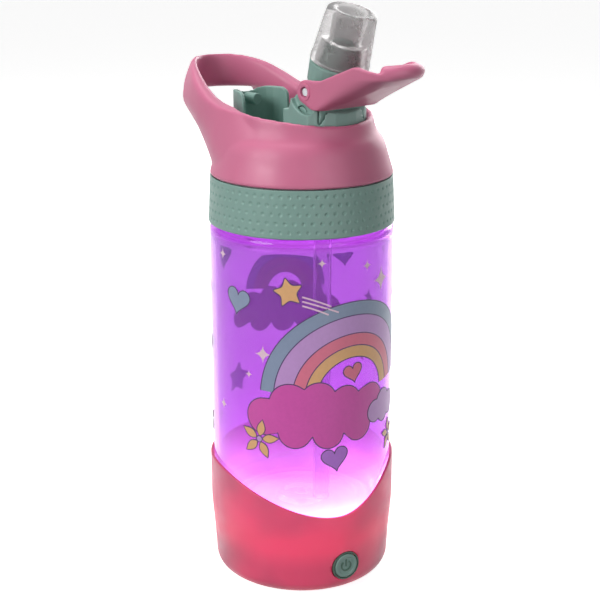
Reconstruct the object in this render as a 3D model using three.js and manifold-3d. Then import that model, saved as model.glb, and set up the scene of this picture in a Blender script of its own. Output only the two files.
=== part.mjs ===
// Kids water bottle: a clear bottle standing in a light-up base, with a screw lid that carries
// a flip-up drinking spout, a visor cover and a carry loop.
// Millimetres, +Z up. Origin: centre of the base's flat underside. The lid's front is +X.
import * as THREE from 'three';
import { mergeVertices } from 'three/addons/utils/BufferGeometryUtils.js';
import Module from 'manifold-3d';

const wasm = await Module();
wasm.setup();

// ---------- driving dimensions ----------
const GAP = 0.3;                 // clearance between neighbouring pieces
const RING_SIDES = 40;           // facets round the large turned pieces
const HIDDEN_SIDES = 24;         // facets round the large pieces inside

// light base
const CUP_R = 37.35;             // outside radius of the base's upper wall
const CUP_TOP = 49.4;            // height of the high part of the rim
const CUP_DIP = 34.0;            // height of the low part of the rim
const CUP_FIXED = 31.8;          // below this height the cup is the same all round
const DIP_ANGLE = -18;           // degrees round from +X to the lowest place of the rim
const DIP_GENTLE = 93;           // degrees from there to the high rim on the gentle side
const DIP_STEEP = 62;            // and on the steep side
const COVER_R = 29.6;            // bottom plate
const DOOR_R = 12.6;             // battery door
const LENS_BOTTOM = 19.5;
const LENS_TOP = 21.9;
const BOARD_Z = 12.6;            // underside of the light board
const BUTTON_ANGLE = -12.6;      // degrees round from +X
const BUTTON_Z = 11.6;
const BUTTON_R = 5.05;
const BUTTON_FACE = 36.4;        // distance of the button's face from the axis

// bottle
const BOTTLE_R = 36;
const BOTTLE_WALL = 2;
const SPIGOT_R = 34.6;           // part of the bottle inside the cup
const SHOULDER_Z = 143;
const NECK_R = 31;
const NECK_BORE = 28.9;
const NECK_TOP = 161.4;

// screw thread
const LEAD = 4;
const CREST_R = 32.2;            // male crest
const CAP_BORE = 32.6;
const CAP_CREST = 31.4;          // female crest

// lid
const DECK_Z = 163.3;            // underside of the cap's deck
const DECK_TOP = 165.3;
const BAND_BOTTOM = 146;
const BAND_TOP = 164.1;
const SHELL_BOTTOM = 164.4;
const LOOP_BACK = 63;            // distance of the carry loop's back from the axis
const LOOP_CENTRE = -12.5;
const LOOP_HALF_WIDTH = 28.3;
const LOOP_THICK = 6.5;
const LOOP_LOW = 191.5;          // underside of the loop's back bar
const LOOP_HIGH = 206.4;
const MOUTH_R = 25.4;            // opening in the lid's top, in front
const FINGER_X = -36.6;          // front edge of the finger gap
const TROUGH_X = -22.9;          // centre of the trough's round end
const TROUGH_END_R = 10.2;
const TROUGH_HALF = 11.6;
const TROUGH_FLOOR = 178.3;
const WALL = 1.5;
const TRAY_TOP = 184.8;
const HORN_TOP = 194.2;          // top of the round wall behind the folded spout

// spout and cover
const PIVOT = { x: 14.6, z: 190 };       // spout's own axis
const HINGE = { x: 18.5, z: 198.3 };     // cover's axis
const SPOUT_LEAN = 19;                   // degrees forward of upright
const DRUM_R = 8;
const DRUM_HALF = 11.2;
const SPOUT_BASE = 18.9;                 // mouthpiece, measured along the spout from its axis
const SPOUT_TIP = 39.4;
const EAR_OUT = 13.1;
const ARM_IN = 13.4;
const ARM_OUT = 15.4;
const PIN_R = 1.5;
const STRAW_X = 12;
const STRAW_R = 3.5;

const rad = THREE.MathUtils.degToRad;
const smooth = THREE.MathUtils.smoothstep;
const lerp = THREE.MathUtils.lerp;

// ---------- colours ----------
const plastic = (color, roughness = 0.5, extra = {}) =>
  new THREE.MeshStandardMaterial({ color, roughness, metalness: 0, ...extra });
const metal = (color, roughness = 0.3) =>
  new THREE.MeshStandardMaterial({ color, roughness, metalness: 1 });
const PINK = plastic(0xc96f96, 0.5);
const PINK_CUP = plastic(0xe0507f, 0.4);
const MINT = plastic(0x7fb8a2, 0.5);
const CLEAR = plastic(0xb56ae0, 0.1, { transparent: true, opacity: 0.45 });
const SILICONE = plastic(0xb8b4bc, 0.25, { transparent: true, opacity: 0.6 });
const WHITE = plastic(0xeeeeee, 0.45);
const GREEN_BOARD = plastic(0x2f7a4a, 0.5);
const DARK = plastic(0x2c2c30, 0.6);
const STEEL = metal(0xb9bcc0);

// ---------- solids ----------
function solid(geometry) {
  const bare = geometry.clone();
  bare.deleteAttribute('normal');
  bare.deleteAttribute('uv');
  const merged = mergeVertices(bare, 1e-4);
  const vertProperties = new Float32Array(merged.attributes.position.array);
  const index = merged.index.array;
  const kept = [];
  for (let i = 0; i < index.length; i += 3) {
    const [a, b, c] = [index[i], index[i + 1], index[i + 2]];
    if (a !== b && b !== c && c !== a) kept.push(a, b, c);
  }
  const triVerts = new Uint32Array(kept);
  return new wasm.Manifold(new wasm.Mesh({ numProp: 3, vertProperties, triVerts }));
}

function geometryOf(manifold) {
  const mesh = manifold.getMesh();
  const geometry = new THREE.BufferGeometry();
  geometry.setAttribute('position', new THREE.BufferAttribute(new Float32Array(mesh.vertProperties), 3));
  geometry.setIndex(new THREE.BufferAttribute(new Uint32Array(mesh.triVerts), 1));
  geometry.computeVertexNormals();
  return geometry;
}

const join = (...parts) => parts.reduce((whole, part) => whole.add(part));
const cut = (body, ...tools) => tools.reduce((rest, tool) => rest.subtract(tool), body);

const scene = new THREE.Group();
function piece(name, shape, material, parent = scene) {
  const geometry = shape.isBufferGeometry ? shape : geometryOf(shape);
  const mesh = new THREE.Mesh(geometry, material);
  mesh.name = name;
  parent.add(mesh);
  return mesh;
}

// A turned body about +Z. The profile is a list of [radius, height] points, bottom centre first
// and anticlockwise, and closes on itself or on the axis.
function turned(profile, sides = RING_SIDES) {
  const closed = profile[0][0] > 0;
  const points = profile.map(([r, z]) => new THREE.Vector2(r, z));
  if (closed) points.push(points[0].clone());
  const geometry = new THREE.LatheGeometry(points, sides);
  geometry.rotateX(Math.PI / 2);
  return geometry;
}

// A closed turned ring between two radii and two heights.
const ring = (inner, outer, low, high, sides = 24) =>
  turned([[inner, low], [outer, low], [outer, high], [inner, high]], sides);
const disc = (radius, low, high, sides = 24) =>
  turned([[0, low], [radius, low], [radius, high], [0, high]], sides);

// Points of an arc, angles in degrees.
function arc(cx, cy, r, from, to, steps) {
  const points = [];
  for (let i = 0; i <= steps; i++) {
    const a = rad(lerp(from, to, i / steps));
    points.push([cx + r * Math.cos(a), cy + r * Math.sin(a)]);
  }
  return points;
}

const outline = (points) => new THREE.Shape(points.map(([x, y]) => new THREE.Vector2(x, y)));

// A plan outline (X, Y) pulled up from one height to another.
function upright(points, low, high) {
  const geometry = new THREE.ExtrudeGeometry(outline(points), { depth: high - low, bevelEnabled: false });
  geometry.translate(0, 0, low);
  return geometry;
}

// A side outline (X, Z) pulled across from one Y to another.
function across(points, near, far) {
  const geometry = new THREE.ExtrudeGeometry(outline(points), { depth: far - near, bevelEnabled: false });
  geometry.rotateX(Math.PI / 2);
  geometry.translate(0, far, 0);
  return geometry;
}

// A round bar along Y, X or Z.
function barY(x, z, radius, near, far, sides = 32) {
  const geometry = disc(radius, near, far, sides);
  geometry.rotateX(-Math.PI / 2);
  geometry.translate(x, 0, z);
  return geometry;
}
function barX(y, z, radius, from, to, sides = 32) {
  const geometry = disc(radius, from, to, sides);
  geometry.rotateY(Math.PI / 2);
  geometry.translate(0, y, z);
  return geometry;
}
function barZ(x, y, radius, low, high, sides = 32) {
  const geometry = disc(radius, low, high, sides);
  geometry.translate(x, y, 0);
  return geometry;
}

// A closed skin through a stack of rings that all have the same number of points.
function lofted(rings) {
  const count = rings[0].length;
  const vertices = rings.flat(2);
  const faces = [];
  for (let j = 0; j < rings.length - 1; j++) {
    for (let i = 0; i < count; i++) {
      const a = j * count + i;
      const b = j * count + (i + 1) % count;
      faces.push(a, b, b + count, a, b + count, a + count);
    }
  }
  const bottom = rings[0].map(([x, y]) => new THREE.Vector2(x, y));
  const last = (rings.length - 1) * count;
  for (const [a, b, c] of THREE.ShapeUtils.triangulateShape(bottom, [])) faces.push(a, c, b);
  const top = rings[rings.length - 1].map(([x, y]) => new THREE.Vector2(x, y));
  for (const [a, b, c] of THREE.ShapeUtils.triangulateShape(top, [])) faces.push(last + a, last + b, last + c);
  const geometry = new THREE.BufferGeometry();
  geometry.setAttribute('position', new THREE.Float32BufferAttribute(vertices, 3));
  geometry.setIndex(faces);
  return geometry;
}

// A helical rib round the axis, its section a low trapezoid that fades out at both ends.
function rib(root, crest, startZ, turns, halfRoot, halfCrest) {
  const stepsPerTurn = 24;
  const steps = Math.round(turns * stepsPerTurn);
  const vertices = [];
  const faces = [];
  for (let i = 0; i <= steps; i++) {
    const angle = (i / stepsPerTurn) * 2 * Math.PI;
    const fade = Math.min(1, i / 4, (steps - i) / 4);
    const tip = lerp(root + Math.sign(crest - root) * 0.12, crest, fade);
    const z = startZ + LEAD * i / stepsPerTurn;
    const section = [[root, -halfRoot], [tip, -halfCrest], [tip, halfCrest], [root, halfRoot]];
    for (const [r, dz] of section) vertices.push(r * Math.cos(angle), r * Math.sin(angle), z + dz);
  }
  const outward = crest > root;
  const quad = (a, b, c, d) => (outward ? faces.push(a, b, c, a, c, d) : faces.push(a, c, b, a, d, c));
  for (let i = 0; i < steps; i++) {
    for (let k = 0; k < 4; k++) {
      const a = i * 4 + k;
      const b = i * 4 + (k + 1) % 4;
      quad(a, a + 4, b + 4, b);
    }
  }
  const e = steps * 4;
  quad(0, 1, 2, 3);
  quad(e + 3, e + 2, e + 1, e);
  const geometry = new THREE.BufferGeometry();
  geometry.setAttribute('position', new THREE.Float32BufferAttribute(vertices, 3));
  geometry.setIndex(faces);
  return geometry;
}

// A screw with its head below and its shaft pointing up.
const screwUp = ([x, y], headR, headLow, headHigh, shaftR, shaftTop) =>
  turned([[0, headLow], [headR, headLow], [headR, headHigh], [shaftR, headHigh], [shaftR, shaftTop],
    [0, shaftTop]], 12).translate(x, y, 0);

// A screw with its head on top and its shaft pointing down.
const screwDown = ([x, y], headR, headLow, headHigh, shaftR, shaftLow) =>
  turned([[0, shaftLow], [shaftR, shaftLow], [shaftR, headLow], [headR, headLow], [headR, headHigh],
    [0, headHigh]], 12).translate(x, y, 0);

const circlePlaces = (count, radius, first) => Array.from({ length: count }, (_, i) => {
  const a = rad(first + 360 * i / count);
  return [radius * Math.cos(a), radius * Math.sin(a)];
});

// ---------- light base ----------
const REFLECTOR_R = 33.2;
const COVER_SCREWS = circlePlaces(3, 26.3, 60);
const BOARD_SCREWS = circlePlaces(3, 18.5, 40);

// Radial tools are drawn along +X and turned to the button's place.
const toButton = (geometry) => geometry.rotateZ(rad(BUTTON_ANGLE));

function baseCup() {
  const profile = [
    [29.9, 0.5], ...arc(30.1, 6, 5.5, -90, 0, 4), [36.2, 16.5], [CUP_R, 30],
    [CUP_R, CUP_TOP - 0.5], [CUP_R - 0.3, CUP_TOP], [BOTTLE_R + GAP + 0.2, CUP_TOP],
    [BOTTLE_R + GAP, CUP_TOP - 0.5], [BOTTLE_R + GAP, 31.8],
    [SPIGOT_R + GAP, 30.2], [SPIGOT_R + GAP, 22.3], [33.7, 22.3], [33.7, 2.4], [29.9, 2.4],
  ];
  const geometry = turned(profile);
  // the rim dips on the front so that the lit bottle shows
  const place = geometry.attributes.position;
  for (let i = 0; i < place.count; i++) {
    const z = place.getZ(i);
    if (z <= CUP_FIXED) continue;
    const angle = THREE.MathUtils.radToDeg(Math.atan2(place.getY(i), place.getX(i)));
    const turn = ((angle - DIP_ANGLE + 540) % 360) - 180;
    const reach = turn > 0 ? DIP_STEEP : DIP_GENTLE;
    const rim = lerp(CUP_DIP, CUP_TOP, smooth(Math.abs(turn), 0, reach));
    place.setZ(i, CUP_FIXED + (z - CUP_FIXED) * (rim - CUP_FIXED) / (CUP_TOP - CUP_FIXED));
  }
  const hole = toButton(barX(0, BUTTON_Z, BUTTON_R + 1.25, 30, 45, 20));
  return cut(solid(geometry), solid(hole));
}

function doorOutline(grow) {
  const tab = 4 + grow;
  const radius = DOOR_R + grow;
  const meeting = THREE.MathUtils.radToDeg(Math.asin(tab / radius));
  const edge = arc(0, 0, radius, meeting, 360 - meeting, 18);
  return [...edge, [17.6 + grow, -tab], [17.6 + grow, tab]];
}

function bottomCover() {
  const plate = disc(COVER_R, 0, 2, 36);
  const posts = BOARD_SCREWS.map(([x, y]) => solid(barZ(x, y, 2.6, 1.5, BOARD_Z - GAP, 14)));
  const pilots = BOARD_SCREWS.map(([x, y]) => solid(barZ(x, y, 1.1, 6, BOARD_Z + 1, 10)));
  const bores = COVER_SCREWS.map(([x, y]) => solid(barZ(x, y, 1.5, -1, 3, 12)));
  const sinks = COVER_SCREWS.map(([x, y]) => solid(barZ(x, y, 2.8, -1, 1.1, 14)));
  const opening = upright(doorOutline(GAP), -1, 3);
  return cut(join(solid(plate), ...posts), solid(opening), ...pilots, ...bores, ...sinks);
}

function batteryDoor() {
  const plate = upright(doorOutline(0), 0, 2);
  return cut(solid(plate), solid(barZ(15, 0, 1.3, -1, 3, 12)), solid(barZ(15, 0, 2.4, -1, 1, 14)));
}

function reflector() {
  const dish = turned([[24.2, 14.6], [25, 13.9], [28.8, 16], [31, 18], [REFLECTOR_R, 18.2], [REFLECTOR_R, 19.2],
    [31, 19.2], [28.3, 17]], HIDDEN_SIDES);
  const posts = COVER_SCREWS.map(([x, y]) => solid(barZ(x, y, 2.6, 2.3, 15.6, 14)));
  const pilots = COVER_SCREWS.map(([x, y]) => solid(barZ(x, y, 1, 1, 9, 10)));
  return cut(join(solid(dish), ...posts), ...pilots);
}

function ledBoard() {
  const board = disc(23.6, BOARD_Z, BOARD_Z + 1.4, HIDDEN_SIDES);
  return cut(solid(board), ...BOARD_SCREWS.map(([x, y]) => solid(barZ(x, y, 1.1, 10, 16, 10))));
}

function base() {
  const group = new THREE.Group();
  piece('base_cup', baseCup(), PINK_CUP, group);
  piece('bottom_cover', bottomCover(), PINK_CUP, group);
  piece('battery_door', batteryDoor(), PINK_CUP, group);
  piece('door_screw', screwUp([15, 0], 2.1, 0.3, 0.7, 1, 2), STEEL, group);
  COVER_SCREWS.forEach((place, i) => {
    piece(`cover_screw_${i + 1}`, screwUp(place, 2.5, 0.3, 0.8, 0.7, 8), STEEL, group);
  });
  piece('battery_tray', solid(turned([[10.5, 2.3], [11.8, 2.3], [11.8, 11.8], [0, 11.8], [0, 10.8],
    [10.5, 10.8]], 24)), WHITE, group);
  piece('coin_cell_1', disc(10, 2.5, 5.7, 24), STEEL, group);
  piece('coin_cell_2', disc(10, 6, 9.2, 24), STEEL, group);
  piece('contact_plate', disc(4, 9.5, 10.5, 16), STEEL, group);
  piece('led_board', ledBoard(), GREEN_BOARD, group);
  BOARD_SCREWS.forEach((place, i) => {
    piece(`board_screw_${i + 1}`, screwDown(place, 2, 14.3, 15.1, 0.8, 7), STEEL, group);
  });
  circlePlaces(4, 10, 45).forEach(([x, y], i) => {
    const lamp = turned([[0, BOARD_Z + 1.7], [2.5, BOARD_Z + 1.7], [2.5, BOARD_Z + 2.6],
      ...arc(0, BOARD_Z + 2.6, 2.2, 0, 90, 2)], 12);
    piece(`led_${i + 1}`, lamp.translate(x, y, 0), WHITE, group);
  });
  const chip = new THREE.BoxGeometry(5, 4, 1.4);
  piece('control_chip', chip.translate(-14, -9, BOARD_Z + 2.4), DARK, group);
  piece('reflector', reflector(), WHITE, group);
  piece('light_lens', turned([[0, LENS_BOTTOM], [REFLECTOR_R, LENS_BOTTOM], [REFLECTOR_R, LENS_TOP - 0.6],
    [REFLECTOR_R - 0.6, LENS_TOP], [0, LENS_TOP]], HIDDEN_SIDES), WHITE, group);
  const body = new THREE.BoxGeometry(3.4, 6, 6).translate(27.2, 0, 6);
  piece('press_switch', toButton(body), DARK, group);
  const bezel = ring(BUTTON_R + 0.3, BUTTON_R + 0.95, 34.4, 36.1, 20).rotateY(Math.PI / 2);
  piece('button_bezel', toButton(bezel.translate(0, 0, BUTTON_Z)), DARK, group);
  return group;
}

function button() {
  const group = new THREE.Group();
  const cap = turned([[0, 30.4], [1.6, 30.4], [1.6, 31.2], [5.7, 31.2], [5.7, 32.4], [BUTTON_R, 32.4],
    [BUTTON_R, BUTTON_FACE - 0.4], [BUTTON_R - 0.4, BUTTON_FACE], [0, BUTTON_FACE]], 20);
  cap.rotateY(Math.PI / 2).translate(0, 0, BUTTON_Z);
  piece('power_button', toButton(cap), MINT, group);
  return group;
}

// ---------- bottle ----------
function bottleBody() {
  const inner = BOTTLE_R - BOTTLE_WALL;
  const profile = [
    [0, 25.4], [22, 24.4], [29.5, 22.7], [33, 22.7], [SPIGOT_R, 24.3], [SPIGOT_R, 30.2],
    [BOTTLE_R - 0.1, 31.6], [BOTTLE_R, SHOULDER_Z],
    ...arc(BOTTLE_R - 3.2, SHOULDER_Z, 3.2, 30, 90, 2), [NECK_R, SHOULDER_Z + 3.3],
    [NECK_R, NECK_TOP], [NECK_BORE, NECK_TOP], [NECK_BORE, SHOULDER_Z + 3],
    [inner - 0.6, SHOULDER_Z - 1], [inner, SHOULDER_Z - 3], [inner, 46],
    [32.6, 34], [28.6, 27.6], [7.5, 27.2], [0, 30.2],
  ];
  const thread = rib(NECK_R - 0.5, CREST_R, 150.6, 1.1, 1.1, 0.5);
  return join(solid(turned(profile)), solid(thread));
}

// ---------- lid ----------
function screwCap() {
  const profile = [
    [CAP_BORE, 147.8], [34, 147.8], [34, BAND_TOP - 0.3], [33, BAND_TOP], [33, DECK_TOP],
    [0, DECK_TOP], [0, DECK_Z], [CAP_BORE, DECK_Z],
  ];
  const thread = rib(CAP_BORE + 0.5, CAP_CREST, 150.6 + LEAD / 2, 0.8, 0.9, 0.4);
  return cut(join(solid(turned(profile, 32)), solid(thread)),
    solid(barZ(STRAW_X, 0, 3, 160, 170, 20)), solid(barZ(-14, 0, 2, 160, 170, 16)));
}

// Plan ring of the flared carry loop: a long half ellipse behind its centre, a short one in front.
function loopRing(centre, back, front, half, z, sides = 36) {
  return Array.from({ length: sides }, (_, i) => {
    const a = 2 * Math.PI * i / sides;
    const reach = Math.cos(a) < 0 ? back : front;
    return [centre + reach * Math.cos(a), half * Math.sin(a), z];
  });
}

// Side outline under the lid's rim line: level at the front, sweeping up to the loop at the back.
function underRim() {
  const line = new THREE.SplineCurve([[40, 185.4], [28, 185.5], [15, 187.7], [0, 189.2], [-12, 190.3],
    [-21, 192.2], [-30, 195.9], [-37, 199.6], [-44, 203.1], [-53, 205.6], [-66, LOOP_HIGH]]
    .map(([x, z]) => new THREE.Vector2(x, z)));
  return [...line.getPoints(16).map((p) => [p.x, p.y]), [-66, 150], [40, 150]];
}

// Plan outline of the opening in the lid's top: round in front, the loop's inside behind.
function bowlOutline(inset = 0) {
  const back = LOOP_BACK + LOOP_CENTRE - LOOP_THICK - inset;
  const half = LOOP_HALF_WIDTH - LOOP_THICK - inset;
  const rear = arc(0, 0, 1, 92, 268, 22).map(([c, s]) => [LOOP_CENTRE + back * c, half * s]);
  return [...rear, ...arc(0, 0, MOUTH_R - inset, -118, 118, 20)];
}

const troughOutline = (grow) => [
  ...arc(TROUGH_X, 0, TROUGH_END_R + grow, 100, 260, 10),
  [-14, -TROUGH_HALF - grow], [6, -TROUGH_HALF - grow], [6, TROUGH_HALF + grow], [-14, TROUGH_HALF + grow],
];

function lidShell() {
  const dome = turned([
    [0, SHELL_BOTTOM], [35.2, SHELL_BOTTOM], [35.6, SHELL_BOTTOM + 0.5], [34.5, 168.5], [33.3, 172.4],
    [32.1, 176.3], [30.7, 179], [29.4, 180.4], [28.4, 182.4], [27.6, 185], [27.2, 188], [27, 191], [0, 191],
  ]);
  const back = LOOP_BACK + LOOP_CENTRE;
  const flare = lofted([
    loopRing(0, 34.6, 34, 34, SHELL_BOTTOM + 0.8), loopRing(-0.5, 35.5, 33, 33.6, 168.4),
    loopRing(LOOP_CENTRE * 0.5, 43.4, 36, 30.6, 180), loopRing(LOOP_CENTRE, back, 36, LOOP_HALF_WIDTH, 188.6),
    loopRing(LOOP_CENTRE, back - 0.3, 36, 28, 193), loopRing(LOOP_CENTRE, back - 2, 36, 27, 198.5),
    loopRing(LOOP_CENTRE, back - 4.2, 36, 25.6, 203), loopRing(LOOP_CENTRE, back - 6.2, 36, 24, 208),
  ]);
  const body = join(solid(dome), solid(flare)).intersect(solid(across(underRim(), -50, 50)));
  const bowl = upright(bowlOutline(), 182.6, 220);
  const cavity = turned([[0, 160], [33.3, 160], [33.3, 166.6], [32.2, 168.5], [31, 172.4], [29.8, 176],
    [27.6, 178.6], [24.4, 180.6], [24.4, 182.8], [0, 182.8]], 32);
  const trough = upright(troughOutline(WALL + GAP), 175, 200);
  const band = bowlOutline();
  const fingers = band.filter(([x]) => x < FINGER_X);
  const half = Math.abs(fingers[0][1]) - 0.2;
  const gap = upright([...fingers, [FINGER_X, -half], [FINGER_X, half]], 160, 220);
  const under = across([[FINGER_X, 160], [FINGER_X, LOOP_LOW], [-75, LOOP_LOW], [-75, 160]].reverse(),
    -half, half);
  return cut(body, solid(bowl), solid(cavity), solid(trough), solid(gap), solid(under));
}

function gripBand() {
  return turned([[34.3, BAND_BOTTOM], [36.1, BAND_BOTTOM], [36.35, BAND_BOTTOM + 0.4],
    [35.5, BAND_TOP], [34.3, BAND_TOP]]);
}

function spoutCradle() {
  const tray = upright(bowlOutline(0.35).filter(([x]) => x > -21), 183, TRAY_TOP);
  const trough = upright(troughOutline(WALL), TROUGH_FLOOR - 1.7, TRAY_TOP);
  const horn = upright(troughOutline(WALL), TRAY_TOP - 1, HORN_TOP);
  const hornSide = across([[-40, 180], [-19.8, 180], [-20.6, 188], ...arc(-24.4, 190.4, 3.8, 0, 90, 4),
    ...arc(-30, 190.4, 3.8, 90, 150, 3), [-40, 192]], -20, 20);
  const saddle = across([[6.5, 183], [27.4, 183], [26.4, 187], [25.2, 189.6], [23, 191.3], [6.5, 191.3]],
    -15.2, 15.2);
  const ear = (near, far) => across([[6.8, 184], [8.8, 189.5], [11, 196.6], [12.3, 196.6], [14.6, 200.3],
    ...arc(HINGE.x, HINGE.z, 4.2, 150, -45, 9), [21.5, 191.3], [24, 190.4], [24.6, 184]], near, far);
  const column = barZ(STRAW_X, 0, 7, DECK_TOP + GAP, TROUGH_FLOOR, 24);
  const post = barZ(-15, 0, 3.5, DECK_TOP + 2.2, TROUGH_FLOOR, 16);
  const mouth = solid(upright(bowlOutline(0.35), 170, 230));
  const block = join(solid(saddle), solid(ear(-15.2, -11.6)), solid(ear(11.6, 15.2))).intersect(mouth);
  let body = join(block, solid(tray), solid(trough), solid(horn).intersect(solid(hornSide)));
  const clear = upright([...troughOutline(0).slice(0, 12), [PIVOT.x, -TROUGH_HALF], [PIVOT.x, TROUGH_HALF],
    [-14, TROUGH_HALF]], TROUGH_FLOOR, 220);
  const drum = barY(PIVOT.x, PIVOT.z, DRUM_R + 0.4, -TROUGH_HALF, TROUGH_HALF, 32);
  const above = upright([[6, -TROUGH_HALF], [23.2, -TROUGH_HALF], [23.2, TROUGH_HALF], [6, TROUGH_HALF]],
    PIVOT.z, 220);
  body = cut(body, solid(clear), solid(drum), solid(above));
  body = join(body, solid(column), solid(post));
  const relief = (near, far) => solid(barY(HINGE.x, HINGE.z, 8.2, near, far, 32));
  body = cut(body, relief(-20, -EAR_OUT), relief(EAR_OUT, 20));
  body = cut(body, solid(barY(HINGE.x, HINGE.z, PIN_R + GAP, -20, 20, 16)),
    solid(barY(PIVOT.x, PIVOT.z, 2.8, -13.5, 13.5, 20)));
  return cut(body, solid(barZ(STRAW_X, 0, 2.6, 160, 185, 16)));
}

function hingePin(side) {
  return barY(HINGE.x, HINGE.z, PIN_R, Math.min(side * 11.9, side * 15.1), Math.max(side * 11.9, side * 15.1), 18);
}

function lid() {
  const group = new THREE.Group();
  piece('screw_cap', screwCap(), WHITE, group);
  piece('grip_band', gripBand(), MINT, group);
  piece('lid_shell', lidShell(), PINK, group);
  piece('spout_cradle', spoutCradle(), MINT, group);
  piece('mouth_plug', barX(0, PIVOT.z, 2.3, -32.7, -26.2, 16), SILICONE, group);
  piece('hinge_pin_near', hingePin(-1), STEEL, group);
  piece('hinge_pin_far', hingePin(1), STEEL, group);
  piece('vent_valve', turned([[0, 162.6], [1.6, 162.6], [1.6, 165.7], [4, 165.7], [3, 166.9], [0, 166.9]], 12)
    .translate(-14, 0, 0), SILICONE, group);
  piece('straw_adapter', ring(STRAW_R + GAP, 5.3, 152.5, DECK_Z - GAP, 16).translate(STRAW_X, 0, 0),
    SILICONE, group);
  piece('straw', ring(2.7, STRAW_R, 30.6, 160.8, 16).translate(STRAW_X, 0, 0), SILICONE, group);
  return group;
}

function lidSeal() {
  const group = new THREE.Group();
  piece('lid_seal', ring(28.8, 31.6, NECK_TOP + GAP, DECK_Z - GAP, HIDDEN_SIDES), SILICONE, group);
  return group;
}

// ---------- spout ----------
// Both pieces are drawn upright along +Z from the spout's axis, then leaned forward.
const toSpout = (geometry) => geometry.rotateY(rad(SPOUT_LEAN)).translate(PIVOT.x, 0, PIVOT.z);

function spoutCore() {
  const stem = turned([[2.6, 2], [6, 2], [8, 7.4], [10.4, 10.6], [11.1, SPOUT_BASE - GAP], [7.2, SPOUT_BASE - GAP],
    [6.4, 26], [5, 26.6], [2.6, 26.6]], 24);
  const drum = barY(0, 0, DRUM_R, -DRUM_HALF, DRUM_HALF, 24);
  const trunnion = barY(0, 0, 2.5, -EAR_OUT, EAR_OUT, 18);
  const bore = barZ(0, 0, 2.6, -12, 30, 16);
  return geometryOf(cut(join(solid(stem), solid(drum), solid(trunnion)), solid(bore)));
}

function spout() {
  const group = new THREE.Group();
  piece('spout_core', toSpout(spoutCore()), MINT, group);
  const mouth = turned([[7.6, SPOUT_BASE], [11.2, SPOUT_BASE], [11.1, 20.5], [9.6, 37.2], [9.1, 38.7],
    [8, SPOUT_TIP], [5.6, SPOUT_TIP], [4.8, 38.6], [4.6, 27.4], [6.8, 26.9]], 28);
  piece('mouthpiece', toSpout(mouth), SILICONE, group);
  return group;
}

// ---------- cover ----------
// Drawn about its own hinge axis, then moved there. The floor of the visor runs forward and up
// from its lower edge to the thumb lip, and its side walls are the two arms.
const FLOOR_START = { x: 9.5, z: -6.3 };
const LIP = { x: 38, z: 6.5 };
const LIP_R = 2.7;

function visorRing(z, half, shift) {
  const rise = THREE.MathUtils.clamp((z - FLOOR_START.z) / (LIP.z - FLOOR_START.z), -0.2, 1.02);
  const nose = lerp(FLOOR_START.x, LIP.x, rise) + shift;
  const corner = 5 + (z - FLOOR_START.z) * 0.98;
  const front = arc(0, 0, 1, -90, 90, 12).map(([c, s]) => {
    const fullness = Math.sign(s) * Math.abs(s) ** 0.86;
    return [corner + (nose - corner) * Math.abs(c) ** 0.86, half * fullness, z];
  });
  return [[-8, -half, z], ...front, [-8, half, z]];
}

function spoutCover() {
  const heights = [-7, -4, -1, 2, 4.5, 6.5, 9, 13];
  const outer = lofted(heights.map((z) => visorRing(z, ARM_OUT, 0)));
  const inner = lofted([-12, -9, ...heights, 16].map((z) => visorRing(z - 2.3, ARM_IN, -0.4)
    .map(([x, y]) => [x, y, z])));
  const side = across([...arc(0, 0, 4.4, 95, 235, 8), [3.4, -6.3], [8, -6.3], [30, 3.3], [41, 6], [41, 9.4],
    [34, 8.9], [29.6, 10], [26.3, 11], [24.4, 10.8], [8, 4.7], [4, 4.4]], -20, 20);
  const lipLine = new THREE.CatmullRomCurve3(arc(0, 0, 1, -62, 62, 8).map(([c, s]) =>
    new THREE.Vector3(27.6 + 10.6 * c, 9.2 * s, 8.2 + 1.2 * c)));
  const section = outline(arc(0, 0, LIP_R, 0, 315, 7));
  const lip = new THREE.ExtrudeGeometry(section, { steps: 8, bevelEnabled: false, extrudePath: lipLine });
  const body = cut(solid(outer), solid(inner)).intersect(solid(side));
  const pin = barY(0, 0, PIN_R + GAP, -20, 20, 18);
  return geometryOf(cut(join(body, solid(lip)), solid(pin)));
}

function cover() {
  const group = new THREE.Group();
  piece('spout_cover', spoutCover().translate(HINGE.x, 0, HINGE.z), PINK, group);
  return group;
}

const bottle = new THREE.Group();
piece('bottle_body', bottleBody(), CLEAR, bottle);

scene.add(base(), button(), bottle, lidSeal(), lid(), spout(), cover());

export default scene;
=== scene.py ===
"""Kids water bottle with a light-up base: the finished look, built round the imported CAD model."""
import math

import bmesh
import bpy
import numpy as np
from mathutils import Matrix, Vector


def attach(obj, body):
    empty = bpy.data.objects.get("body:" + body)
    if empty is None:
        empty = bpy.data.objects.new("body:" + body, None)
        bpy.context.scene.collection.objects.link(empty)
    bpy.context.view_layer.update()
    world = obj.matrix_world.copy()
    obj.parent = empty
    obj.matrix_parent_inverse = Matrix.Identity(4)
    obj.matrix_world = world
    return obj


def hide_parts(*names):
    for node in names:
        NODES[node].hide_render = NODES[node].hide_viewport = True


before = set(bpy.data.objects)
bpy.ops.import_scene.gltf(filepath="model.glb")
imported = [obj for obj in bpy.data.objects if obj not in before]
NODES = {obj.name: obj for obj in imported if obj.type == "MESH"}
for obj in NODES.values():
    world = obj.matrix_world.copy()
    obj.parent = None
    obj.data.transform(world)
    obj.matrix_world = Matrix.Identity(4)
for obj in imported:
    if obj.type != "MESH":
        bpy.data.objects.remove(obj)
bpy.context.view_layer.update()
MM = 0.001

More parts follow.
